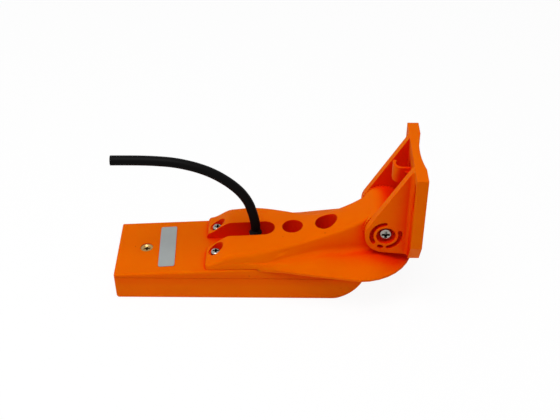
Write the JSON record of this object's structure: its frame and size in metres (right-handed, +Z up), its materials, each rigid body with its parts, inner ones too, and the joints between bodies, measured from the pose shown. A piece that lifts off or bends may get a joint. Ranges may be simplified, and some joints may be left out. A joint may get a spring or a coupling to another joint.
{
  "type": "sonar transducer",
  "caption": "Wedge-shaped sonar transducer under a moulded arm with a flared skirt, tilting in a transom bracket, with a black cable rising from the arm's slot.",
  "frame": {"origin": "on the standing surface, under the middle of the whole length and width", "axes": "+X along the block towards the transom plate, +Y to port across the block, +Z up"},
  "size_m": [0.24, 0.0944, 0.1225],
  "materials": {
    "orange_plastic": "moulded, fine satin grain",
    "black_rubber": "smooth satin jacket",
    "stainless_steel": "bright",
    "brass": "satin",
    "grey_label": "matt film",
    "piezo_ceramic": "fired, silvered faces",
    "cork_backing": "bonded cork",
    "potting_epoxy": "cast epoxy",
    "wire_sleeve": "extruded sleeve",
    "nylon": "moulded nylon"
  },
  "bodies": {
    "bracket": {"bracket": "orange_plastic", "pivot_bolt": "stainless_steel", "pivot_nut": "stainless_steel", "lock_ring": "nylon"},
    "transducer": {"housing": "orange_plastic", "lid": "orange_plastic", "arm": "orange_plastic", "high_band_element": "piezo_ceramic", "low_band_element": "piezo_ceramic", "high_band_backing": "cork_backing", "low_band_backing": "cork_backing", "potting": "potting_epoxy", "lead_wires": "wire_sleeve", "fill_plug": "brass", "screw_inserts": "brass", "blank_label": "grey_label", "cable_gland": "black_rubber", "cable": "black_rubber", "arm_screws": "stainless_steel"}
  },
  "joints": [
    {"name": "tilt", "type": "hinge", "parent": "bracket", "child": "transducer", "pos_m": [0.0935, 0, 0.05998], "axis": [0, 1, 0], "range_deg": [-8, 70]}
  ]
}
